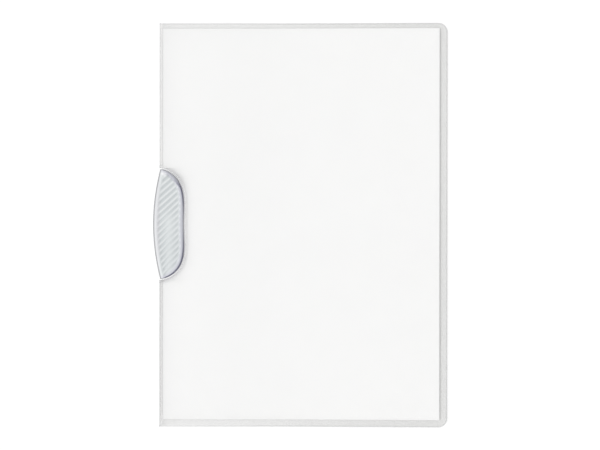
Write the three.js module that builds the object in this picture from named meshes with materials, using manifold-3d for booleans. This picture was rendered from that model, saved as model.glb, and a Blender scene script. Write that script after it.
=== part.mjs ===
// A4 clip folder, lying flat: two clear film covers, and a swing clip that turns on a rivet at the spine.
// Millimetres. X runs from the spine to the free edge, Y up the page, Z up through the thickness.
// The origin is under the middle of the whole outline, on the surface that the folder lies on.
import * as THREE from 'three'
import { mergeVertices } from 'three/addons/utils/BufferGeometryUtils.js'
import Module from 'manifold-3d'

const wasm = await Module()
wasm.setup()

// Clearance between pieces that lie on or turn past each other
const runningGap = 0.3

// Covers, creased from one sheet of clear film
const coverWidth = 218.5
const coverHeight = 306.5
const filmThickness = 0.5
const freeCornerRadius = 7
const creaseRadius = 1.2 // outside of the fold at the foot of the spine

// Loose A4 sheets
const sheetWidth = 210
const sheetHeight = 297
const stackThickness = 1.8
const spineMargin = 2.5 // from the spine to the sheets
const sheetRise = 0.85 // the sheets lie this far above the covers' middle

// Swing clip: a front jaw over the sheets, a rear jaw under the back cover, and a bowed web that joins them
const clipLength = 83.5
const clipWidth = 23
const clipBulge = 4.9 // how far the web bows out past the spine
const tipInset = 0.6 // the pointed ends lie this far inside the spine
const clipRise = 0.7 // the clip's middle lies this far above the covers' middle
const upperSquareness = 3.4 // how full the clip's shoulders are
const lowerSquareness = 3.8
const shoulderPower = 2 / 3
const tipBluntness = 0.005
const frontJawThickness = 2
const frontJawRim = 1.1
const leftRound = 3
const rightRound = 2.5
const rearJawWidth = 19
const rearJawThickness = 1.4
const rearJawChamfer = 0.4
const webThickness = 1.4
const webTopStop = 5.75 // the web ends this far short of the upper tip
const webFootRise = 3.5 // and this far above the pivot

// Wave ribs on the front jaw, which slant up to the right and fan out a little downwards
const ribPitch = 4.9
const ribDepth = 0.5
const ribSlant = 0.93 // rise over run of the rib through the clip's middle
const ribFan = 0.0032 // how much flatter each rib is than the one a millimetre below it
const firstRib = 3.6 // height of one crest at the spine, from the clip's middle
const ribMarginLeft = 3
const ribMarginRight = 2
const ribFadeLength = 2.5

// Rivet that the clip turns on
const pivotInset = 4 // from the spine
const pivotFromTip = 5 // up from the clip's lower tip
const rivetRadius = 1.2
const rivetHeadRadius = 2.6
const rivetHeadThickness = 0.4
const rivetSink = 0.1 // the lower head lies this far up inside the rear jaw

// Cut-outs that let the clip through
const cutOutMargin = 1.1 // in the front cover, beside the clip
const slotEndMargin = 1 // in both covers, past the clip's tips
const notchDepth = 1.2 // in the back cover, from the spine

// Near the spine the covers ride up over the rear jaw, and then run down to the surface
const levelReach = 24
const slopeRun = 86
const slopeSteps = 10

// Fineness of round and curved surfaces
const ribStepsAlong = 100
const ribStepsAcross = 16
const plainStepsAlong = 48
const plainStepsAcross = 6
const circleSteps = 32
const cornerSteps = 10
const creaseSteps = 4

// Heights at the spine, each from the piece below it
const backLift = rearJawThickness + runningGap
const backTop = filmThickness
const stackUnder = backTop + rivetHeadThickness + runningGap
const stackTop = stackUnder + stackThickness
const frontJawUnder = backLift + stackTop + runningGap
const frontJawTop = frontJawUnder + frontJawThickness
const spineTop = frontJawTop + runningGap
const coverTopAtFreeEdge = stackTop + runningGap + filmThickness

// Places in the plan, from the spine and from the covers' middle
const halfClip = clipLength / 2
const pivotY = clipRise - halfClip + pivotFromTip
const slotHalf = halfClip + slotEndMargin
const bowDepth = clipBulge + tipInset
const bowRadius = (halfClip ** 2 + bowDepth ** 2) / (2 * bowDepth)

// 0 over the level stretch at the spine, 1 where the covers lie on the surface
function descent(x) {
  const share = THREE.MathUtils.clamp((x - levelReach) / slopeRun, 0, 1)
  return (1 - Math.cos(Math.PI * share)) / 2
}

const lift = (x) => backLift * (1 - descent(x))
const coverTop = (x) => THREE.MathUtils.lerp(spineTop, coverTopAtFreeEdge, descent(x))

function slopeStops(from, to) {
  const stops = [from]
  for (let step = 0; step <= slopeSteps; step++) {
    const x = levelReach + (slopeRun * step) / slopeSteps
    if (x > from && x < to) stops.push(x)
  }
  return [...stops, to]
}

// Closed section in X and Z between an under side and an upper side
function bandSection(from, to, under, over) {
  const stops = slopeStops(from, to)
  const lower = stops.map((x) => new THREE.Vector2(x, under(x)))
  const upper = stops.map((x) => new THREE.Vector2(x, over(x))).reverse()
  return [...lower, ...upper]
}

// Left outline of the clip, an arc that bows out past the spine
function clipLeft(y) {
  return bowRadius - clipBulge - Math.sqrt(bowRadius ** 2 - y ** 2)
}

// Share of the clip's full width at a distance from its middle: one less a power of that distance, raised to
// the power of the shoulders, which gives straight sides that round into the tips
function widthShare(y, half) {
  const reach = (Math.abs(y) / half) * (1 - tipBluntness)
  const squareness = y < 0 ? lowerSquareness : upperSquareness
  return (1 - reach ** squareness) ** shoulderPower
}

// 0 at a rim, rising to 1 along a quarter circle
function roundOver(distance, radius) {
  const share = Math.min(distance / radius, 1)
  return Math.sqrt(1 - (1 - share) ** 2)
}

function fadeIn(distance, margin) {
  return THREE.MathUtils.smoothstep(distance, margin, margin + ribFadeLength)
}

// Upper face of the front jaw: crowned, with diagonal waves cut into it
function frontJawHeight(x, y, left, right) {
  const crown = roundOver(x - left, leftRound) * roundOver(right - x, rightRound)
  const thickness = THREE.MathUtils.lerp(frontJawRim, frontJawThickness, crown)
  const startAtSpine = (y - ribSlant * x) / (1 - ribFan * x)
  const phase = (2 * Math.PI * (startAtSpine - firstRib)) / ribPitch
  const fade = fadeIn(x - left, ribMarginLeft) * fadeIn(right - x, ribMarginRight)
  return frontJawUnder + thickness - (ribDepth / 2) * fade * (1 - Math.cos(phase))
}

function solidFrom(geometry) {
  const bare = geometry.clone()
  bare.deleteAttribute('normal')
  bare.deleteAttribute('uv')
  const merged = mergeVertices(bare, 1e-4)
  const vertProperties = Float32Array.from(merged.attributes.position.array)
  const triVerts = Uint32Array.from(merged.index.array)
  return new wasm.Manifold(new wasm.Mesh({ numProp: 3, vertProperties, triVerts }))
}

function meshFrom(solid, name, material) {
  const { vertProperties, triVerts } = solid.getMesh()
  const geometry = new THREE.BufferGeometry()
  geometry.setAttribute('position', new THREE.BufferAttribute(vertProperties, 3))
  geometry.setIndex(new THREE.BufferAttribute(triVerts, 1))
  geometry.computeVertexNormals()
  const mesh = new THREE.Mesh(geometry, material)
  mesh.name = name
  return mesh
}

// A section in X and Z, carried along the page
function alongPage(section, length, middle = 0) {
  const geometry = new THREE.ExtrudeGeometry(new THREE.Shape(section), { depth: length, bevelEnabled: false })
  geometry.rotateX(Math.PI / 2)
  geometry.translate(0, middle + length / 2, 0)
  return solidFrom(geometry)
}

// A plan in X and Y, from below the surface to as far above the folder
function throughThickness(plan) {
  const depth = 3 * spineTop
  const options = { depth, bevelEnabled: false, curveSegments: cornerSteps }
  const geometry = new THREE.ExtrudeGeometry(plan, options)
  geometry.translate(0, 0, -spineTop)
  return solidFrom(geometry)
}

// An upright round post or hole
function post(radius, from, to) {
  const geometry = new THREE.CylinderGeometry(radius, radius, to - from, circleSteps)
  geometry.rotateX(Math.PI / 2)
  geometry.translate(pivotInset, pivotY, (from + to) / 2)
  return solidFrom(geometry)
}

// A block whose points (u, v, w), each from 0 to 1, are carried to a place in the clip
function shapedBlock(stepsAcross, stepsAlong, place) {
  const geometry = new THREE.BoxGeometry(1, 1, 1, stepsAcross, stepsAlong, 1)
  const { position } = geometry.attributes
  for (let i = 0; i < position.count; i++) {
    const at = place(position.getX(i) + 0.5, position.getY(i) + 0.5, position.getZ(i) + 0.5)
    position.setXYZ(i, at.x, at.y + clipRise, at.z)
  }
  return solidFrom(geometry)
}

// Plan of both covers, with rounded corners at the free edge
function coverPlan() {
  const halfHeight = coverHeight / 2
  const arcX = coverWidth - freeCornerRadius
  const arcY = halfHeight - freeCornerRadius
  const plan = new THREE.Shape()
  plan.moveTo(-filmThickness, -halfHeight)
  plan.lineTo(arcX, -halfHeight)
  plan.absarc(arcX, -arcY, freeCornerRadius, -Math.PI / 2, 0)
  plan.lineTo(coverWidth, arcY)
  plan.absarc(arcX, arcY, freeCornerRadius, 0, Math.PI / 2)
  plan.lineTo(-filmThickness, halfHeight)
  return throughThickness(plan)
}

// D-shaped cut-out round the clip, open to the spine
function cutOutPlan() {
  const fullWidth = clipWidth + cutOutMargin
  const outline = [new THREE.Vector2(-clipBulge, -slotHalf)]
  for (let step = 0; step <= plainStepsAlong; step++) {
    const y = slotHalf * ((2 * step) / plainStepsAlong - 1)
    const x = clipLeft((y * halfClip) / slotHalf) + fullWidth * widthShare(y, slotHalf)
    outline.push(new THREE.Vector2(Math.max(x, 0), y))
  }
  outline.push(new THREE.Vector2(-clipBulge, slotHalf))
  return throughThickness(new THREE.Shape(outline)).translate([0, clipRise, 0])
}

// Notch in the spine and in the edge of the back cover, for the web
function notchPlan() {
  const plan = new THREE.Shape()
  plan.moveTo(-clipBulge, -slotHalf)
  plan.lineTo(notchDepth, -slotHalf)
  plan.lineTo(notchDepth, slotHalf)
  plan.lineTo(-clipBulge, slotHalf)
  return throughThickness(plan).translate([0, clipRise, 0])
}

// Folded corner at the foot of the spine, as points from the film's under side up to its outer face
function creaseArc(radius) {
  const arc = []
  for (let step = 0; step <= creaseSteps; step++) {
    const angle = Math.PI + (Math.PI / 2) * (step / creaseSteps)
    const x = creaseRadius + radius * Math.cos(angle)
    const z = backLift + creaseRadius + radius * Math.sin(angle)
    arc.push(new THREE.Vector2(x, z))
  }
  return arc
}

const film = new THREE.MeshStandardMaterial({
  name: 'clear_film',
  color: 0xe9ebea,
  roughness: 0.25,
  metalness: 0,
  transparent: true,
  opacity: 0.3,
})
const moulding = new THREE.MeshStandardMaterial({
  name: 'clip_plastic',
  color: 0xd8dddd,
  roughness: 0.35,
  metalness: 0,
})
const rivetPlastic = new THREE.MeshStandardMaterial({
  name: 'rivet_plastic',
  color: 0xdfe2e2,
  roughness: 0.4,
  metalness: 0,
})
const paper = new THREE.MeshStandardMaterial({
  name: 'white_paper',
  color: 0xfafafa,
  roughness: 0.9,
  metalness: 0,
})

// Back film and spine, folded at one crease
function makeBackCover() {
  const floorStops = slopeStops(creaseRadius, coverWidth).slice(1)
  const outside = creaseArc(creaseRadius)
  const underSide = floorStops.map((x) => new THREE.Vector2(x, lift(x)))
  const upperSide = floorStops.map((x) => new THREE.Vector2(x, lift(x) + backTop)).reverse()
  const inside = creaseArc(creaseRadius - filmThickness).reverse()
  const spineEdge = [new THREE.Vector2(filmThickness, spineTop), new THREE.Vector2(0, spineTop)]
  const section = [...outside, ...underSide, ...upperSide, ...inside, ...spineEdge]
  const sheet = alongPage(section, coverHeight).intersect(coverPlan())
  const rivetHole = post(rivetRadius + runningGap, 0, spineTop)
  return meshFrom(sheet.subtract(notchPlan()).subtract(rivetHole), 'back_cover', film)
}

function makeFrontCover() {
  const nearEdge = filmThickness + runningGap
  const underSide = (x) => coverTop(x) - filmThickness
  const section = bandSection(nearEdge, coverWidth, underSide, coverTop)
  const sheet = alongPage(section, coverHeight).intersect(coverPlan())
  return meshFrom(sheet.subtract(cutOutPlan()), 'front_cover', film)
}

function makeSheets() {
  const under = (x) => lift(x) + stackUnder
  const over = (x) => lift(x) + stackTop
  const section = bandSection(spineMargin, spineMargin + sheetWidth, under, over)
  return meshFrom(alongPage(section, sheetHeight, sheetRise), 'paper_sheets', paper)
}

// Evens out to finer steps near both rims
function crowdToRims(share) {
  return (share + (1 - Math.cos(Math.PI * share)) / 2) / 2
}

// Made a little too deep, and then cut off level at its under side
function makeFrontJaw() {
  const block = shapedBlock(ribStepsAcross, ribStepsAlong, (u, v, w) => {
    const y = clipLength * (v - 0.5)
    const left = clipLeft(y)
    const right = left + clipWidth * widthShare(y, halfClip)
    const x = THREE.MathUtils.lerp(left, right, crowdToRims(u))
    const z = w < 0.5 ? frontJawUnder - runningGap : frontJawHeight(x, y, left, right)
    return { x, y, z }
  })
  return block.trimByPlane([0, 0, 1], frontJawUnder)
}

// Made a little too high, and then cut off level at its upper side
function makeRearJaw() {
  const block = shapedBlock(plainStepsAcross, plainStepsAlong, (u, v, w) => {
    const y = clipLength * (v - 0.5)
    const left = clipLeft(y)
    const right = left + rearJawWidth * widthShare(y, halfClip)
    const x = THREE.MathUtils.lerp(left, right, crowdToRims(u))
    const nearRim = Math.min(x - left, right - x)
    const under = rearJawChamfer * (1 - Math.min(nearRim / webThickness, 1))
    return { x, y, z: w < 0.5 ? under : rearJawThickness + runningGap }
  })
  return block.trimByPlane([0, 0, -1], -rearJawThickness)
}

function makeWeb() {
  const foot = pivotY - clipRise + webFootRise
  const top = halfClip - webTopStop
  return shapedBlock(1, plainStepsAlong, (u, v, w) => {
    const y = THREE.MathUtils.lerp(foot, top, v)
    const x = clipLeft(y) + webThickness * u
    const z = THREE.MathUtils.lerp(rearJawThickness / 2, frontJawUnder + frontJawRim / 2, w)
    return { x, y, z }
  })
}

function makeClip() {
  const recessTop = rivetSink + rivetHeadThickness + runningGap
  const hole = post(rivetRadius + runningGap, 0, rearJawThickness + runningGap)
  const recess = post(rivetHeadRadius + runningGap, -runningGap, recessTop)
  const rearJaw = makeRearJaw().subtract(hole).subtract(recess)
  return meshFrom(makeFrontJaw().add(makeWeb()).add(rearJaw), 'swing_clip', moulding)
}

// Two flat heads on one shank, turned as one profile
function makeRivet() {
  const lowerFace = rivetSink
  const upperSeat = backLift + backTop
  const profile = [
    new THREE.Vector2(0, lowerFace),
    new THREE.Vector2(rivetHeadRadius, lowerFace),
    new THREE.Vector2(rivetHeadRadius, lowerFace + rivetHeadThickness),
    new THREE.Vector2(rivetRadius, lowerFace + rivetHeadThickness),
    new THREE.Vector2(rivetRadius, upperSeat),
    new THREE.Vector2(rivetHeadRadius, upperSeat),
    new THREE.Vector2(rivetHeadRadius, upperSeat + rivetHeadThickness),
    new THREE.Vector2(0, upperSeat + rivetHeadThickness),
  ]
  const geometry = new THREE.LatheGeometry(profile, circleSteps)
  geometry.rotateX(Math.PI / 2)
  const mesh = meshFrom(solidFrom(geometry), 'pivot_rivet', rivetPlastic)
  mesh.position.set(pivotInset, pivotY, 0)
  return mesh
}

const group = new THREE.Group()
group.add(makeBackCover(), makeFrontCover(), makeSheets(), makeClip(), makeRivet())
group.position.x = (clipBulge - coverWidth) / 2

export default group
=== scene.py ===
# A4 clip folder with clear film covers, dressed for a plain studio picture taken from above.
import math

import bmesh
import bpy
import numpy as np
from mathutils import Euler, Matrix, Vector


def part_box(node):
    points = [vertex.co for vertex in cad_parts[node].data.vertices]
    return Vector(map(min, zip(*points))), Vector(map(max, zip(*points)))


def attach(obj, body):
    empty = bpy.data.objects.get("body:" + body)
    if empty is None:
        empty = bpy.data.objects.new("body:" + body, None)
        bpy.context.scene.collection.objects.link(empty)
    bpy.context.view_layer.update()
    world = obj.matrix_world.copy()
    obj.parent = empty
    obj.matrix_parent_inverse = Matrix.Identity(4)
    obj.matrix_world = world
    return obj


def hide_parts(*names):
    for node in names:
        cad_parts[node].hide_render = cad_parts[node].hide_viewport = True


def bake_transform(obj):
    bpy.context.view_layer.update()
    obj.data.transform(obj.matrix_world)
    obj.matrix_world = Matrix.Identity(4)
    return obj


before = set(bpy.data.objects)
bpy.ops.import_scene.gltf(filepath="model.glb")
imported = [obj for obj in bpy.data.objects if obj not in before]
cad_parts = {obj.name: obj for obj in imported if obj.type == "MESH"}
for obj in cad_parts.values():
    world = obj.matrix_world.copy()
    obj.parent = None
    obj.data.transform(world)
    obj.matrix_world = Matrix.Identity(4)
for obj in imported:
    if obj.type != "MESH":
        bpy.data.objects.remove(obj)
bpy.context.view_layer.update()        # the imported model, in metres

mm = 0.001


# Lowest and highest corner of a CAD node in millimetres
def millimetres(node):
    low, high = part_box(node)
    return np.array(low) / mm, np.array(high) / mm


backLow, backHigh = millimetres("back_cover")
sheetLow, sheetHigh = millimetres("paper_sheets")
clipLow, clipHigh = millimetres("swing_clip")
rivetLow, rivetHigh = millimetres("pivot_rivet")
spineX = backLow[0]          # x below is counted from here, y from the covers' middle, z from the surface

film = {
    "width": backHigh[0] - backLow[0],
    "height": backHigh[1] - backLow[1],
    "spineTop": backHigh[2],
    "thickness": 0.5,
    "foldRadius": 1.2,
    "cornerRadius": 7,
    "levelReach": 24,        # the covers run level this far from the spine
    "slopeRun": 86,          # and then down to the surface over this length
    "lift": 1.7,             # of the back film over the rear jaw
    "freeEdgeTop": 3.8,      # upper face of the front film past the slope
    "cutMargin": 1.1,        # cut-out beside the clip
    "slotMargin": 1.0,       # slot past the clip's tips
    "ripple": 0.06,          # waviness of the loose front film
    "rippleX": (37, 90),     # how fast its two waves run across the page, and up it
    "rippleY": (61, 43),
    "rippleGrowth": (20, 60),        # where it starts, from the spine, and how far it takes to grow
    "sharpAngle": 35,        # edges sharper than this, in degrees, aren't smoothed
}

clip = {
    "length": clipHigh[1] - clipLow[1],
    "middle": (clipHigh[1] + clipLow[1]) / 2,
    "bulge": spineX - clipLow[0],
    "width": 23,
    "tipInset": 0.6,
    "squareness": (3.8, 3.4),        # how full the lower and the upper shoulder are
    "rimHeight": 1.1,
    "crown": 2.0,
    "leftRound": 3.0,
    "rightRound": 2.5,
    "rearWidth": 19,
    "rearThickness": 1.4,
    "rearRound": 0.6,
    "web": 1.4,
    "webTopStop": 5.75,
    "webFoot": 8.5,          # from the lower tip
    "ribPitch": 4.9,
    "ribDepth": 0.5,
    "ribSlant": 0.93,        # rise over run of the rib through the clip's middle
    "ribFan": 0.0032,        # how much flatter each rib is than the one a millimetre below it
    "firstRib": 3.6,         # height of one crest at the spine, from the clip's middle
    "ribMarginLeft": 3.0,
    "ribMarginRight": 2.0,
    "ribFade": 2.5,
    "calmDepth": 0.8,        # share of the ribs that is smoothed away down the middle of the lower part
    "calmPlace": 8.5,        # from the spine
    "calmWidth": 4.8,
    "calmTop": 14,           # above the clip's middle
    "calmGrowth": 12,
    "stopsLower": 40,        # points along the clip up to the web, beside it and past it
    "stopsMiddle": 300,
    "stopsUpper": 30,
    "stopsFine": 84,         # points across the ribbed face and across the plain ones
    "stopsCoarse": 14,
    "sharpAngle": 50,
    "gapBelowCover": 0.3,    # from the front jaw up to the height of the covers at the spine
}
clip["under"] = film["spineTop"] - clip["gapBelowCover"] - clip["crown"]
halfClip = clip["length"] / 2
sagitta = clip["bulge"] + clip["tipInset"]
bowRadius = (halfClip**2 + sagitta**2) / (2 * sagitta)


# Smooth step from 0 to 1 over a stretch that starts at margin
def easeIn(distance, margin, length):
    share = np.clip((distance - margin) / length, 0, 1)
    return share * share * (3 - 2 * share)


# Half a cosine wave, from 0 at the level stretch to 1 where the film lies on the surface
def descent(x):
    share = np.clip((x - film["levelReach"]) / film["slopeRun"], 0, 1)
    return (1 - np.cos(np.pi * share)) / 2


# The back film's height over the surface: its lift over the rear jaw, less its share of the descent
def lift(x):
    return film["lift"] * (1 - descent(x))


# The spine's height along the level stretch and the free edge's past the slope, less a faint ripple that
# starts some way from the fold
def coverTop(x, y):
    level = film["spineTop"] + (film["freeEdgeTop"] - film["spineTop"]) * descent(x)
    alongOne, alongTwo = film["rippleX"]
    upOne, upTwo = film["rippleY"]
    wave = (1 - np.sin(x / alongOne + y / upOne) * np.cos(y / upTwo - x / alongTwo)) / 2
    return level - film["ripple"] * wave * easeIn(x, *film["rippleGrowth"])


# Arc of a large circle through both tips of the clip, bowed out past the spine
def clipLeft(y):
    return bowRadius - clip["bulge"] - np.sqrt(bowRadius**2 - y**2)


# One less a power of the distance from the middle, to the power two thirds
def widthShare(y, half):
    lower, upper = clip["squareness"]
    return np.clip(1 - np.abs(y / half) ** np.where(y < 0, lower, upper), 0, 1) ** (2 / 3)


# Quarter circle from 0 at a rim to 1 at the radius
def roundOver(distance, radius):
    share = np.clip(distance / radius, 0, 1)
    return np.sqrt(1 - (1 - share) ** 2)


# Rows and columns of points joined into quads, whose normals point along columns cross rows
def gridFaces(rows, columns, keep=None):
    index = np.arange(rows * columns).reshape(rows, columns)
    quads = np.stack([index[:-1, :-1], index[:-1, 1:], index[1:, 1:], index[1:, :-1]], -1)
    return quads[keep] if keep is not None else quads.reshape(-1, 4)


# Points in millimetres from the spine become a mesh in the frame, with doubles merged and normals outwards
def makePiece(name, points, quads, sharpAngle=film["sharpAngle"], weld=0.002):
    points = np.asarray(points, float) + [spineX, 0, 0]
    mesh = bpy.data.meshes.new(name)
    mesh.from_pydata((points * mm).tolist(), [], np.asarray(quads).tolist())
    shape = bmesh.new()
    shape.from_mesh(mesh)
    bmesh.ops.remove_doubles(shape, verts=shape.verts, dist=weld * mm)
    bmesh.ops.delete(shape, geom=[v for v in shape.verts if not v.link_faces], context="VERTS")
    bmesh.ops.recalc_face_normals(shape, faces=shape.faces)
    shape.to_mesh(mesh)
    shape.free()
    mesh.shade_smooth()
    mesh.set_sharp_from_angle(angle=math.radians(sharpAngle))
    piece = bpy.data.objects.new(name, mesh)
    bpy.context.scene.collection.objects.link(piece)
    return piece


# Puts what the piece's modifiers make into its mesh, and drops them
def applyModifiers(piece, sharpAngle=film["sharpAngle"]):
    bpy.context.view_layer.update()
    finished = piece.evaluated_get(bpy.context.evaluated_depsgraph_get())
    mesh = bpy.data.meshes.new_from_object(finished)
    piece.modifiers.clear()
    piece.data = mesh
    mesh.shade_smooth()
    mesh.set_sharp_from_angle(angle=math.radians(sharpAngle))


slotHalf = halfClip + film["slotMargin"]
cornerStart = film["height"] / 2 - film["cornerRadius"]


# Rows up the page: close together round the free corners and along the cut-out
def filmRows():
    cornerRows, slotRows, plainRows = 17, 91, 40
    corner = cornerStart + film["cornerRadius"] * np.sin(np.linspace(0, np.pi / 2, cornerRows))
    slot = clip["middle"] + slotHalf * -np.cos(np.linspace(0, np.pi, slotRows))
    below = np.linspace(-cornerStart, slot[0], plainRows)
    above = np.linspace(slot[-1], cornerStart, plainRows)
    return np.unique(np.concatenate([-corner, below, slot, above, corner]).round(6))


rowY = filmRows()
inSlot = np.abs(rowY - clip["middle"]) < slotHalf + 1e-4
slotFaces = inSlot[:-1] & inSlot[1:]

# Free edge of each row: straight, then a quarter circle at either corner
intoCorner = np.clip(np.abs(rowY) - cornerStart, 0, film["cornerRadius"])
freeEdge = film["width"] - film["cornerRadius"] + np.sqrt(film["cornerRadius"] ** 2 - intoCorner**2)


# Edge of the D-shaped cut-out on each row: the clip's own outline, made larger
def cutOutEdge(y):
    local = y - clip["middle"]
    bow = clipLeft(local * halfClip / slotHalf)
    reach = bow + (clip["width"] + film["cutMargin"]) * widthShare(local, slotHalf)
    return np.maximum(reach, film["foldRadius"])


# Shares of the way across: growing steps in millimetres at both ends, and even ones in between
def crowdedShare():
    near = np.array([0, 0.3, 0.6, 1, 1.5, 2.2, 3.2, 4.5]) / film["width"]
    evenStart, evenStops = 0.03, 104
    return np.concatenate([near, np.linspace(evenStart, 1 - evenStart, evenStops), 1 - near[::-1]])


# Back film from its free edge in to the spine, round the fold and up to the front fold
def backFilmSurface():
    foldStops, wallStops = 9, 8
    r = film["foldRadius"]
    share = crowdedShare()[::-1]
    flatX = r + (freeEdge[:, None] - r) * share
    flatZ = lift(flatX)
    angle = np.linspace(1.5 * np.pi, np.pi, foldStops)[1:]
    foldX = r + r * np.cos(angle)
    foldZ = film["lift"] + r + r * np.sin(angle)
    wallZ = np.linspace(film["lift"] + r, film["spineTop"] - r, wallStops)[1:]
    riseX = np.concatenate([foldX, np.zeros_like(wallZ)])
    riseZ = np.concatenate([foldZ, wallZ])
    x = np.hstack([flatX, np.tile(riseX, (len(rowY), 1))])
    z = np.hstack([flatZ, np.tile(riseZ, (len(rowY), 1))])
    keep = np.ones((len(rowY) - 1, x.shape[1] - 1), bool)
    keep[slotFaces, flatX.shape[1] - 1:] = False
    return x, z, keep


# Front film from the spine's top round the front fold and out to its free edge, open at the cut-out
def frontFilmSurface():
    foldStops = 13
    r = film["foldRadius"]
    angle = np.linspace(np.pi, 0.5 * np.pi, foldStops)[:-1]
    foldX = np.tile(r + r * np.cos(angle), (len(rowY), 1))
    foldZ = np.tile(film["spineTop"] - r + r * np.sin(angle), (len(rowY), 1))
    start = np.where(inSlot, cutOutEdge(rowY), r)
    share = crowdedShare()
    flatX = start[:, None] + (freeEdge - start)[:, None] * share
    flatZ = coverTop(flatX, rowY[:, None])
    keep = np.ones((len(rowY) - 1, foldX.shape[1] + flatX.shape[1] - 1), bool)
    keep[slotFaces, : foldX.shape[1]] = False
    return np.hstack([foldX, flatX]), np.hstack([foldZ, flatZ]), keep


# Vertices of a piece in millimetres, x from the spine
def vertexPlaces(piece):
    flat = np.empty(len(piece.data.vertices) * 3)
    piece.data.vertices.foreach_get("co", flat)
    return flat.reshape(-1, 3).T / mm - np.array([[spineX], [0], [0]])


# One number for each vertex, which the piece's material reads by name
def paint(piece, name, values):
    layer = piece.data.attributes.new(name, "FLOAT", "POINT")
    layer.data.foreach_set("value", np.broadcast_to(values, len(piece.data.vertices)).astype(np.float32))


# Distance to a curve x = edge(y): the distance along x, made shorter where the curve slopes
def distanceToEdge(x, y, edge, half):
    step, steepest = 0.05, 4
    inside = np.clip(y, step - half, half - step)
    slope = (edge(inside + step) - edge(inside - step)) / (2 * step)
    return (x - edge(y)) / np.hypot(1, np.clip(slope, -steepest, steepest))


# How far a point lies inside the covers' rounded outline, with the spine's side left out
def insideOutline(x, y):
    r = film["cornerRadius"]
    fromX = x - (film["width"] - r)
    fromY = np.abs(y) - (film["height"] / 2 - r)
    corner = np.hypot(np.maximum(fromX, 0), np.maximum(fromY, 0))
    return r - corner - np.minimum(np.maximum(fromX, fromY), 0)


filmLook = {
    "pale": (0.74, 0.74, 0.725, 1),
    # Pale haze, and the colour of the painted shade and the lines on the film
    "paintedShade": (0.20, 0.20, 0.22, 1),
    "frontHaze": (0.064, 0.064),     # share that one face hides, at the spine and at the free edge
    # The back film's haze grows toward its free edge as painted shade, so that its rims darken away from the
    # light on the left
    "backHaze": (0.09, 0.19),
    "edgeHaze": 0.38,        # and where the film is seen edge on
    "edgeBlend": 0.35,       # how widely that spreads
    "hazeShadeGrowth": (-0.09, 0.1),      # the first share turns into the second between these, in metres
    "mottle": 0.012,         # how much the haze varies, in faint patches
    "mottleScale": 14,
    "waveScale": 9,          # slow waves of the surface
    "waveStrength": 0.15,
    "waveDepth": 0.002,
    "roughness": 0.16,
    "edgeLine": 0.5,         # how far each shade reaches, in millimetres
    "cutBand": 1.1,
    "foldLine": 1.6,
    "bendBand": 6.0,
    "edgeShade": 0.1,        # and how much it darkens
    "cutShade": 0.21,
    # Painted shade along the fold, darker toward its lower end, and beside the spine where the film bends
    "foldShade": (0.01, 0.06),       # along the upper half of the spine, and near its lower end
    "foldGrowth": (0.02, -0.06),     # where the one turns into the other, likewise
    "bendShade": 0.018,
    # The clip's painted shadow in the band round the cut-out grows broader and darker at the upper shoulder
    "shoulderPlace": 35,     # the band round the cut-out is broader and darker here, from the clip's middle
    "shoulderReach": 7,
    "shoulderBroader": 0.4,
    "shoulderDarker": 0.3,
}


# Where the film looks darker, each a bell or a decay over the distance from it: a sharp line at its edges, a
# band round the cut-out that is the clip's painted shadow, and painted shade along the fold and the bend
# after it
def paintFilm(piece):
    x, y, z = vertexPlaces(piece)
    edge = np.exp(-((insideOutline(x, y) / filmLook["edgeLine"]) ** 2))
    local = y - clip["middle"]
    fromCut = distanceToEdge(x, local, lambda v: cutOutEdge(v + clip["middle"]), slotHalf)
    pastSlot = np.hypot(x, np.maximum(np.abs(local) - slotHalf, 0))
    fromCut = np.where(np.abs(local) < slotHalf, np.maximum(fromCut, 0), pastSlot)
    shoulder = np.exp(-(((local - filmLook["shoulderPlace"]) / filmLook["shoulderReach"]) ** 2))
    band = filmLook["cutBand"] * (1 + filmLook["shoulderBroader"] * shoulder)
    nearCut = np.exp(-fromCut / band) * (1 + filmLook["shoulderDarker"] * shoulder)
    nearCut = nearCut * (z > film["lift"] + film["freeEdgeTop"] / 2)
    fold = np.exp(-((x / filmLook["foldLine"]) ** 2))
    bend = np.exp(-x / filmLook["bendBand"])
    paint(piece, "edge", edge)
    # The band round the cut-out is the clip's painted shadow
    paint(piece, "cut", nearCut)
    # Painted shade along the fold and the bend after it
    paint(piece, "fold", fold)
    paint(piece, "bend", bend)


# A surface from above, its wall set off inwards, and its shades painted on
def makeFilm(name, surface):
    x, z, keep = surface
    y = np.broadcast_to(rowY[:, None], x.shape)
    points = np.stack([x, y, z], -1).reshape(-1, 3)
    piece = makePiece(name, points, gridFaces(*x.shape, keep=keep))
    wall = piece.modifiers.new("wall", "SOLIDIFY")
    wall.thickness = film["thickness"] * mm
    wall.offset = -1
    applyModifiers(piece)
    paintFilm(piece)
    return piece


stack = {
    "count": 18,
    "sheet": 0.088,          # the rest of each 0.1 is air
    "spread": 0.25,          # how far a sheet lies back from the outermost one
    "seed": 11,
    "stops": 60,             # points across each sheet
}


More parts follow.
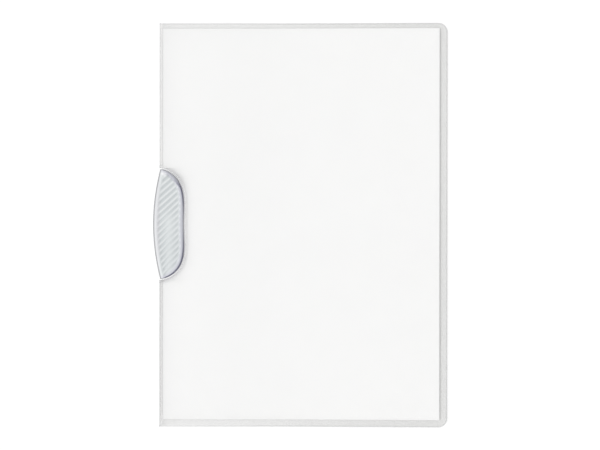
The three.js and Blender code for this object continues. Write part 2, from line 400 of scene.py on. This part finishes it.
# Each sheet is a thin closed slab that follows the lift of the film, with its edges a little out of line
def makeSheets():
    shuffle = np.random.default_rng(stack["seed"])
    width = sheetHigh[0] - sheetLow[0]
    height = sheetHigh[1] - sheetLow[1]
    left = sheetLow[0] - spineX
    pitch = (sheetHigh[2] - film["lift"] - sheetLow[2]) / stack["count"]
    share = np.linspace(0, 1, stack["stops"])
    points, quads = [], []
    for number in range(stack["count"]):
        topmost = number == stack["count"] - 1
        inset = np.zeros(4) if topmost else shuffle.uniform(0, stack["spread"], 4)
        x = left + inset[0] + (width - inset[0] - inset[1]) * share
        low, high = sheetLow[1] + inset[2], sheetHigh[1] - inset[3]
        under = sheetLow[2] + number * pitch + lift(x)
        over = under + stack["sheet"]
        ring = [(x, low, under), (x, high, under), (x, high, over), (x, low, over), (x, low, under)]
        grid = np.stack([np.stack([px, np.full_like(px, py), pz], -1) for px, py, pz in ring])
        start = sum(len(p) for p in points)
        quads.append(gridFaces(*grid.shape[:2]) + start)
        ends = np.array([[3, 2, 1, 0], [0, 1, 2, 3]]) * len(share) + [[0], [len(share) - 1]]
        quads.append(ends + start)
        points.append(grid.reshape(-1, 3))
    return makePiece("sheet_stack", np.concatenate(points), np.concatenate(quads))


# Ribs as a wave and its strength: the cosine of a phase that runs up the page and fans out, at full strength
# between the rims, and weaker down the middle of the lower part
def ribWave(x, y, left, right):
    startAtSpine = (y - clip["ribSlant"] * x) / (1 - clip["ribFan"] * x)
    phase = 2 * np.pi * (startAtSpine - clip["firstRib"]) / clip["ribPitch"]
    fade = easeIn(x - left, clip["ribMarginLeft"], clip["ribFade"])
    fade = fade * easeIn(right - x, clip["ribMarginRight"], clip["ribFade"])
    lower = easeIn(clip["calmTop"] - y, 0, clip["calmGrowth"])
    calm = clip["calmDepth"] * lower * np.exp(-(((x - clip["calmPlace"]) / clip["calmWidth"]) ** 2))
    return np.cos(phase), fade * (1 - calm)


# Front jaw: a crown that rounds over at both rims, with the grooves cut into it
def frontJawTop(x, y, left, right):
    crown = roundOver(x - left, clip["leftRound"]) * roundOver(right - x, clip["rightRound"])
    thickness = clip["rimHeight"] + (clip["crown"] - clip["rimHeight"]) * crown
    wave, strength = ribWave(x, y, left, right)
    return clip["under"] + thickness - clip["ribDepth"] * strength * (1 - wave) / 2


# A place in the clip: across from 0 (left rim) to 1 (web's inner face) to 2 (right rim), along from 0 to 1,
# and level 0 (rear jaw's under side), 1 (its top), 2 (front jaw's under side) or 3 (its top), or between them
def clipPlace(across, along, level):
    across, along, level = np.broadcast_arrays(across, along, np.asarray(level, float))
    y = clip["length"] * (along - 0.5)
    left = clipLeft(y)
    full = np.where(level < 1.5, clip["rearWidth"], clip["width"]) * widthShare(y, halfClip)
    web = np.minimum(clip["web"], full / 2)
    right = left + full
    inner = left + web + (full - web) * (across - 1)
    x = np.where(across < 1, left + web * across, inner)
    nearRim = np.minimum(x - left, right - x)
    rearUnder = clip["rearRound"] * (1 - roundOver(nearRim, clip["rearRound"]))
    heights = [rearUnder, clip["rearThickness"], clip["under"], frontJawTop(x, y, left, right)]
    z = heights[0]
    for floor, (low, high) in enumerate(zip(heights, heights[1:])):
        z = z + (high - low) * np.clip(level - floor, 0, 1)
    return np.stack([x, y + clip["middle"], z], -1)


# One surface of the clip over two of its three parameters, with the third one fixed
def clipSurface(across, along, level):
    stops = [np.atleast_1d(s).astype(float) for s in (across, along, level)]
    grids = np.meshgrid(*stops, indexing="ij")
    points = np.squeeze(clipPlace(*grids))
    return points.reshape(-1, 3), gridFaces(*points.shape[:2])


# Even steps averaged with ones that are finer at both ends
def crowded(count):
    share = np.linspace(0, 1, count)
    return (share + (1 - np.cos(np.pi * share)) / 2) / 2


# The clip's surfaces, joined at the edges that they share. The web leaves both jaws free at the two tips.
def makeClip():
    foot = clip["webFoot"] / clip["length"]
    head = 1 - clip["webTopStop"] / clip["length"]
    lower = foot * (1 - np.cos(np.linspace(0, np.pi / 2, clip["stopsLower"])))
    middle = np.linspace(foot, head, clip["stopsMiddle"])
    upper = head + (1 - head) * np.sin(np.linspace(0, np.pi / 2, clip["stopsUpper"]))
    along = np.unique(np.concatenate([lower, middle, upper]).round(9))
    tiny = 1e-9
    relief = [along[along <= foot + tiny], along[along >= head - tiny]]
    webAlong = along[(along >= foot - tiny) & (along <= head + tiny)]
    webStops, rimStops = 7, 4        # points across the web and up each rim
    webAcross = np.linspace(0, 1, webStops)
    fine = np.concatenate([webAcross, 1 + crowded(clip["stopsFine"])[1:]])
    coarse = 1 + crowded(clip["stopsCoarse"])
    rearAcross = np.concatenate([webAcross, coarse[1:]])
    rim = np.linspace(2, 3, rimStops)
    wall = np.linspace(1, 2, webStops)
    edge = np.linspace(0, 1, rimStops)
    parts = [
        clipSurface(fine, along, 3),
        clipSurface(0, along, rim),
        clipSurface(2, along, rim),
        clipSurface(coarse, along, 2),
        clipSurface(0, webAlong, wall),
        clipSurface(1, webAlong, wall),
        clipSurface(webAcross, foot, wall),
        clipSurface(webAcross, head, wall),
        clipSurface(coarse, along, 1),
        clipSurface(0, along, edge),
        clipSurface(2, along, edge),
        clipSurface(rearAcross, along, 0),
    ]
    for stretch in relief:
        parts.append(clipSurface(webAcross, stretch, 2))
        parts.append(clipSurface(webAcross, stretch, 1))
    pointSets, quadSets = zip(*parts)
    starts = np.cumsum([0] + [len(points) for points in pointSets[:-1]])
    quads = np.concatenate([quads + start for quads, start in zip(quadSets, starts)])
    return makePiece("ribbed_clip", np.concatenate(pointSets), quads, sharpAngle=clip["sharpAngle"])


rivet = {
    "x": (rivetLow[0] + rivetHigh[0]) / 2 - spineX,
    "y": (rivetLow[1] + rivetHigh[1]) / 2,
    "radius": 1.2,
    "headRadius": (rivetHigh[0] - rivetLow[0]) / 2,
    "headThickness": 0.4,
    "edgeRound": 0.15,
    "gap": 0.3,
}


# Profile turned once round the rivet's axis
def turned(name, profile, steps=64):
    profile = np.array(profile, float)
    angle = np.linspace(0, 2 * np.pi, steps + 1)
    x = rivet["x"] + profile[:, 0][None, :] * np.cos(angle)[:, None]
    y = rivet["y"] + profile[:, 0][None, :] * np.sin(angle)[:, None]
    z = np.broadcast_to(profile[:, 1], x.shape)
    points = np.stack([x, y, z], -1).reshape(-1, 3)
    return makePiece(name, points, gridFaces(*x.shape))


# Two flat heads with rounded edges on one shank
def rivetProfile():
    low, high = rivetLow[2], rivetHigh[2]
    r, edge, head = rivet["headRadius"], rivet["edgeRound"], rivet["headThickness"]
    arc = np.linspace(0, np.pi / 2, 5)       # five points round each rim
    lower = [(r - edge + edge * math.sin(a), low + edge - edge * math.cos(a)) for a in arc]
    upper = [(r - edge + edge * math.cos(a), high - edge + edge * math.sin(a)) for a in arc]
    neck = rivet["radius"]
    shank = [(r, low + head), (neck, low + head), (neck, high - head), (r, high - head)]
    return [(0, low), *lower, *shank, *upper, (0, high)]


# Hole and recess in the rear jaw, taken out with a turned cutter
def cutPivotHole(piece):
    low, head = rivetLow[2], rivet["headThickness"]
    hole, recess = rivet["radius"] + rivet["gap"], rivet["headRadius"] + rivet["gap"]
    shelf = low + head + rivet["gap"]
    top = clip["rearThickness"] + rivet["gap"]
    profile = [(0, -1), (recess, -1), (recess, shelf), (hole, shelf), (hole, top), (0, top)]
    cutter = turned("cutter", profile)
    cut = piece.modifiers.new("hole", "BOOLEAN")
    cut.operation = "DIFFERENCE"
    cut.solver = "EXACT"
    cut.object = cutter
    applyModifiers(piece, sharpAngle=clip["sharpAngle"])
    bpy.data.objects.remove(cutter)


# A number in a material; sums on it add Math nodes
class Number:
    def __init__(self, tree, socket):
        self.tree = tree
        self.socket = socket

    def math(self, operation, first, second):
        made = self.tree.nodes.new("ShaderNodeMath")
        made.operation = operation
        for slot, value in zip(made.inputs, (first, second)):
            connect(self.tree, slot, value)
        return Number(self.tree, made.outputs[0])

    def __add__(self, other):
        return self.math("ADD", self, other)

    def __mul__(self, other):
        return self.math("MULTIPLY", self, other)

    def __truediv__(self, other):
        return self.math("DIVIDE", self, other)

    def __pow__(self, other):
        return self.math("POWER", self, other)

    __radd__ = __add__
    __rmul__ = __mul__


def connect(tree, slot, value):
    if isinstance(value, Number):
        value = value.socket
    if isinstance(value, bpy.types.NodeSocket):
        tree.links.new(value, slot)
    else:
        slot.default_value = value


# A node tree with one way to add a node: its type, its settings, then the values or links of its sockets
class Finish:
    def __init__(self, owner):
        owner.use_nodes = True
        self.tree = owner.node_tree
        self.tree.nodes.clear()
        isWorld = isinstance(owner, bpy.types.World)
        self.output = "ShaderNodeOutputWorld" if isWorld else "ShaderNodeOutputMaterial"

    def node(self, kind, settings={}, inputs={}):
        made = self.tree.nodes.new(kind)
        for name, value in settings.items():
            setattr(made, name, value)
        for name, value in inputs.items():
            connect(self.tree, made.inputs[name], value)
        return made

    def number(self, made, output=0):
        return Number(self.tree, made.outputs[output])

    # The point's own place, in metres, for patterns
    def place(self):
        return self.node("ShaderNodeTexCoord").outputs["Object"]

    # x and y of that place as numbers
    def plan(self, where):
        parts = self.node("ShaderNodeSeparateXYZ", inputs={0: where})
        return self.number(parts, "X"), self.number(parts, "Y")

    # The first colour where the factor is 0, the second where it is 1
    def mixColour(self, factor, first, second):
        made = self.node("ShaderNodeMix", {"data_type": "RGBA"}, {0: factor, 6: first, 7: second})
        return made.outputs[2]

    def noise(self, where, scale, detail=2, roughness=0.5):
        inputs = {"Vector": where, "Scale": scale, "Detail": detail, "Roughness": roughness}
        return self.number(self.node("ShaderNodeTexNoise", {"noise_dimensions": "3D"}, inputs))

    def bump(self, height, strength, depth):
        inputs = {"Strength": strength, "Distance": depth, "Height": height}
        return self.node("ShaderNodeBump", inputs=inputs).outputs[0]

    # A number painted on the piece
    def painted(self, name):
        return self.number(self.node("ShaderNodeAttribute", {"attribute_name": name}), "Fac")

    # Smooth step from 0 at one value to 1 at another
    def stretch(self, value, start, end):
        settings = {"interpolation_type": "SMOOTHSTEP"}
        inputs = {"Value": value, "From Min": start, "From Max": end}
        return self.number(self.node("ShaderNodeMapRange", settings, inputs))

    def surface(self, shader):
        self.node(self.output, inputs={"Surface": shader})


def newMaterial(name):
    material = bpy.data.materials.new(name)
    return material, Finish(material)


# Clear film: mostly see-through, hazier where it is seen edge on, with darker edges, painted shade along its
# folds and beside the spine, and the clip's painted shadow round the cut-out
def filmMaterial(name, haze):
    spineHaze, freeHaze = haze
    upperFold, lowerFold = filmLook["foldShade"]
    material, finish = newMaterial(name)
    where = finish.place()
    x, y = finish.plan(where)
    weight = finish.node("ShaderNodeLayerWeight", inputs={"Blend": filmLook["edgeBlend"]})
    facing = finish.number(weight, "Facing")
    edge, cut, fold, bend = [finish.painted(part) for part in ("edge", "cut", "fold", "bend")]
    mottle = finish.noise(where, filmLook["mottleScale"], detail=3)
    lower = finish.stretch(y, *filmLook["foldGrowth"])
    right = finish.stretch(x, *filmLook["hazeShadeGrowth"])
    lines = filmLook["edgeShade"] * edge + filmLook["cutShade"] * cut + filmLook["bendShade"] * bend
    lines = lines + fold * (upperFold + (lowerFold - upperFold) * lower)
    cloud = spineHaze + (freeHaze - spineHaze) * right + filmLook["mottle"] * mottle
    alpha = cloud + lines + (filmLook["edgeHaze"] - spineHaze) * facing**2
    darkness = lines / (cloud + lines)
    colour = finish.mixColour(darkness, filmLook["pale"], filmLook["paintedShade"])
    waves = finish.noise(where, filmLook["waveScale"], detail=1)
    body = finish.node("ShaderNodeBsdfPrincipled", inputs={
        "Base Color": colour,
        "Roughness": filmLook["roughness"],
        "IOR": 1.49,
        "Alpha": alpha,
        "Normal": finish.bump(waves, filmLook["waveStrength"], filmLook["waveDepth"]),
    })
    finish.surface(body.outputs[0])
    return material


clipLook = {
    # The ribs' painted light and shade: a lit colour for the crests and a shaded one for the valleys
    "crest": (0.74, 0.765, 0.77, 1),
    "shadedValley": (0.52, 0.555, 0.565, 1),
    # Painted shade on the smooth band inside the right rim
    "slopeShade": (0.56, 0.57, 0.62, 1),
    # Painted shade on the left rounding and the web
    "outer": (0.605, 0.605, 0.63, 1),
    # Colour of the painted shade along the right rim, where the clip's side is in shade and casts its shadow
    "edge": (0.13, 0.13, 0.195, 1),
    # Painted shade along the top of the left rim
    "leftRimShade": (0.38, 0.38, 0.395, 1),
    "glint": (0.9, 0.9, 0.92, 1),
    "grooveShare": 0.9,          # how strongly each colour covers what lies under it
    "smoothShare": 0.9,
    "outerShare": 0.75,
    "glintShare": 0.9,
    "cloudShare": 0.12,
    "cloudScale": 160,
    "grainScale": 5200,
    "grainStrength": 0.12,
    "grainDepth": 0.00005,
    "roughness": 0.34,
    "roughnessSpread": 0.06,
    # The dark painted shade along the right rim:
    "darkWidth": 1.15,           # of the dark line at the right rim, at the shoulders, in millimetres
    "darkSide": (0.45, 0.75),    # it is solid to the first share of its width, and fades over the second
    "darkStart": (1.5, 4),       # where it begins at the tips and how long it takes to grow, from the spine
    "waist": 0.36,               # share of the clip's half length over which the line is at its faintest
    "waistNarrower": 0.3,
    "waistFainter": 0.76,
    "pastShoulder": (0.64, 0.2),     # share of the half length where it starts to spread, and over how much
    "tipBroader": 3,
    "tipFainter": 0.72,
    "smoothBand": (2.2, 1.6),    # full width and fade of the band inside the right rim
    "outerBand": (-0.4, 1.2),    # where the outer band ends, from the spine, and its fade
    "leftLine": (0.6, 0.8),      # full width and fade of the line at the left rim
    "glintPlace": (3.2, 38.2),   # from the spine and from the clip's middle
    "glintSize": (1.7, 1.3),
    "lowerShade": 0.16,          # how much greyer the lower half is
    "lowerStart": 8,             # above the clip's middle
    "lowerGrowth": 30,
}


# What the front jaw's colour follows, all painted light and shade: the ribs' shade in the grooves, painted
# shade on the smooth band inside the right rim, a dark painted shade line at that rim that is darkest at both
# shoulders, painted shade left of the spine with a fine line of it along the top of the left rim, and a
# painted highlight near the upper tip. The rear jaw is plain.
def paintClip(piece):
    x, y, z = vertexPlaces(piece)
    local = y - clip["middle"]
    left = clipLeft(local)

    def rightEdge(v):
        return clipLeft(v) + clip["width"] * widthShare(v, halfClip)

    fromRight = -distanceToEdge(x, local, rightEdge, halfClip)
    share = local / halfClip
    frontJaw = z > clip["under"] - 0.01
    leftRim = easeIn(z, clip["under"], clip["rimHeight"])
    top = easeIn(share, *clipLook["pastShoulder"])
    waist = np.exp(-((share / clipLook["waist"]) ** 2))
    width = clipLook["darkWidth"] + clipLook["tipBroader"] * top - clipLook["waistNarrower"] * waist
    strength = 1 - clipLook["waistFainter"] * waist - clipLook["tipFainter"] * top
    solid, fading = clipLook["darkSide"]
    paintedShade = strength * (1 - easeIn(fromRight, solid * width, fading * width))
    glintX, glintY = clipLook["glintPlace"]
    glintWidth, glintHeight = clipLook["glintSize"]
    glint = np.exp(-(((x - glintX) / glintWidth) ** 2) - ((local - glintY) / glintHeight) ** 2)
    wave, ribs = ribWave(x, local, left, rightEdge(local))
    shade = clipLook["lowerShade"] * easeIn(clipLook["lowerStart"] - local, 0, clipLook["lowerGrowth"])
    # Painted shade: the dark line along the right rim
    paint(piece, "paintedShade", frontJaw * paintedShade * easeIn(x, *clipLook["darkStart"]))
    # Painted shade on the smooth band inside the right rim
    paint(piece, "slopeShade", frontJaw * (1 - easeIn(fromRight, *clipLook["smoothBand"])))
    # Painted shade on the band left of the spine, and a fine line of it along the left rim's top
    paint(piece, "outer", 1 - easeIn(x, *clipLook["outerBand"]))
    paint(piece, "leftRimShade", leftRim * (1 - easeIn(x - left, *clipLook["leftLine"])))
    # Painted shade of the ribs in the grooves, greyer over the lower part
    paint(piece, "ribShade", (1 - frontJaw * wave * ribs) / 2 + shade)
    paint(piece, "glint", frontJaw * glint)


# Satin moulding: the ribs' painted light and shade between a lit crest and a shaded groove colour, a faint
# cloudiness, and the painted shade bands and lines and a painted highlight over them
def clipMaterial():
    material, finish = newMaterial("clip_plastic")
    where = finish.place()
    parts = ("ribShade", "slopeShade", "outer", "leftRimShade", "paintedShade", "glint")
    ribShade, slopeShade, outer, leftRimShade, paintedShade, glint = [finish.painted(part) for part in parts]
    cloud = finish.noise(where, clipLook["cloudScale"], detail=3)
    grain = finish.noise(where, clipLook["grainScale"], detail=2)
    depth = clipLook["grooveShare"] * ribShade + clipLook["cloudShare"] * cloud
    colour = finish.mixColour(depth, clipLook["crest"], clipLook["shadedValley"])
    colour = finish.mixColour(clipLook["smoothShare"] * slopeShade, colour, clipLook["slopeShade"])
    colour = finish.mixColour(clipLook["outerShare"] * outer, colour, clipLook["outer"])
    colour = finish.mixColour(leftRimShade, colour, clipLook["leftRimShade"])
    colour = finish.mixColour(paintedShade, colour, clipLook["edge"])
    colour = finish.mixColour(clipLook["glintShare"] * glint, colour, clipLook["glint"])
    body = finish.node("ShaderNodeBsdfPrincipled", inputs={
        "Base Color": colour,
        "Roughness": clipLook["roughness"] + clipLook["roughnessSpread"] * cloud,
        "IOR": 1.49,
        "Normal": finish.bump(grain, clipLook["grainStrength"], clipLook["grainDepth"]),
    })
    finish.surface(body.outputs[0])
    return material


rivetLook = {
    "pale": (0.72, 0.745, 0.75, 1),
    "shade": (0.62, 0.64, 0.66, 1),
    "cloudShare": 0.3,
    "cloudScale": 300,
    "roughness": 0.3,
    "roughnessSpread": 0.1,
}


# Smooth moulding with a faint cloudiness
def rivetMaterial():
    material, finish = newMaterial("rivet_plastic")
    cloud = finish.noise(finish.place(), rivetLook["cloudScale"])
    colour = finish.mixColour(rivetLook["cloudShare"] * cloud, rivetLook["pale"], rivetLook["shade"])
    body = finish.node("ShaderNodeBsdfPrincipled", inputs={
        "Base Color": colour,
        "Roughness": rivetLook["roughness"] + rivetLook["roughnessSpread"] * cloud,
    })
    finish.surface(body.outputs[0])
    return material


paperLook = {
    "white": (0.985, 0.985, 0.985, 1),
    "pulp": (0.965, 0.965, 0.965, 1),
    "pulpScale": 45,
    "toothScale": 2600,
    "toothStrength": 0.1,
    "toothDepth": 0.00005,
    "roughness": 0.82,
    "gloss": 0.2,
}


# White copy paper: a faint cloudiness of the pulp and a fine tooth
def paperMaterial():
    material, finish = newMaterial("white_paper")
    where = finish.place()
    pulp = finish.noise(where, paperLook["pulpScale"], detail=4)
    tooth = finish.noise(where, paperLook["toothScale"], detail=3)
    colour = finish.mixColour(pulp, paperLook["white"], paperLook["pulp"])
    body = finish.node("ShaderNodeBsdfPrincipled", inputs={
        "Base Color": colour,
        "Roughness": paperLook["roughness"],
        "Specular IOR Level": paperLook["gloss"],
        "Normal": finish.bump(tooth, paperLook["toothStrength"], paperLook["toothDepth"]),
    })
    finish.surface(body.outputs[0])
    return material


def dress(piece, material):
    piece.data.materials.clear()
    piece.data.materials.append(material)


print("film covers")
backFilm = makeFilm("back_film", backFilmSurface())
dress(backFilm, filmMaterial("back_clear_film", filmLook["backHaze"]))
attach(backFilm, "back")
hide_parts("back_cover")

frontFilm = makeFilm("front_film", frontFilmSurface())
dress(frontFilm, filmMaterial("clear_film", filmLook["frontHaze"]))
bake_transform(frontFilm)
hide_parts("front_cover")

print("sheets")
sheets = makeSheets()
dress(sheets, paperMaterial())
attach(sheets, "back")
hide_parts("paper_sheets")

print("clip and rivet")
ribbedClip = makeClip()
cutPivotHole(ribbedClip)
paintClip(ribbedClip)
dress(ribbedClip, clipMaterial())
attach(ribbedClip, "clip")
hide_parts("swing_clip")

pivot = turned("turned_rivet", rivetProfile())
dress(pivot, rivetMaterial())
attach(pivot, "back")
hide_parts("pivot_rivet")

studio = {
    "worldLight": 0.52,      # on the object; what the camera sees of the world is white
    "sunLight": 1.75,
    "sunTilt": (6, -23),     # degrees about X and Y: from the left and a little above the page's top
    "sunSize": 24,
    "floorColour": (0.62, 0.62, 0.62, 1),
    "floorGlow": 0.42,       # for the camera only, so that the floor comes out white and keeps its shadow
    "floorHalf": 3.0,        # metres
    "floorDrop": 0.05,       # millimetres, so that the floor and the film's under side don't share a plane
}


# 1 for what the camera sees, straight, in a mirror or through glass
def seenDirectly(finish):
    path = finish.node("ShaderNodeLightPath")
    seen = [finish.number(path, name) for name in ("Is Camera Ray", "Is Glossy Ray", "Is Transmission Ray")]
    total = seen[0] + seen[1] + seen[2]
    return finish.number(finish.node("ShaderNodeClamp", inputs={0: total}))


def makeStudio():
    world = bpy.data.worlds.new("studio")
    bpy.context.scene.world = world
    finish = Finish(world)
    seen = seenDirectly(finish)
    strength = studio["worldLight"] + (1 - studio["worldLight"]) * seen
    light = finish.node("ShaderNodeBackground", inputs={"Color": (1, 1, 1, 1), "Strength": strength})
    finish.surface(light.outputs[0])

    half = studio["floorHalf"]
    level = -studio["floorDrop"] * mm
    mesh = bpy.data.meshes.new("floor")
    corners = [(-half, -half, level), (half, -half, level), (half, half, level), (-half, half, level)]
    mesh.from_pydata(corners, [], [(0, 1, 2, 3)])
    floor = bpy.data.objects.new("floor", mesh)
    bpy.context.scene.collection.objects.link(floor)
    material, finish = newMaterial("floor")
    matt = finish.node("ShaderNodeBsdfDiffuse", inputs={"Color": studio["floorColour"]})
    glowStrength = studio["floorGlow"] * seenDirectly(finish)
    glow = finish.node("ShaderNodeEmission", inputs={"Strength": glowStrength})
    both = finish.node("ShaderNodeAddShader", inputs={0: matt.outputs[0], 1: glow.outputs[0]})
    finish.surface(both.outputs[0])
    dress(floor, material)

    lamp = bpy.data.lights.new("key", "SUN")
    lamp.energy = studio["sunLight"]
    lamp.angle = math.radians(studio["sunSize"])
    key = bpy.data.objects.new("key", lamp)
    key.rotation_euler = Euler([math.radians(a) for a in studio["sunTilt"]] + [0])
    bpy.context.scene.collection.objects.link(key)


camera = {
    "place": (44.07, 2.34, 1206.11),     # millimetres, over the page
    "turn": (-0.105, 2.099, 0.049),      # degrees, a hair off straight down
    "lens": 95.07,
    "sensor": 36,
    "farthest": 20,          # metres
}


def makeCamera():
    data = bpy.data.cameras.new("camera")
    data.lens = camera["lens"]
    data.sensor_width = camera["sensor"]
    data.clip_end = camera["farthest"]
    made = bpy.data.objects.new("camera", data)
    made.location = [value * mm for value in camera["place"]]
    made.rotation_euler = Euler([math.radians(angle) for angle in camera["turn"]])
    bpy.context.scene.collection.objects.link(made)
    bpy.context.scene.camera = made


print("studio")
makeStudio()
makeCamera()
bpy.context.scene.view_settings.view_transform = "Standard"
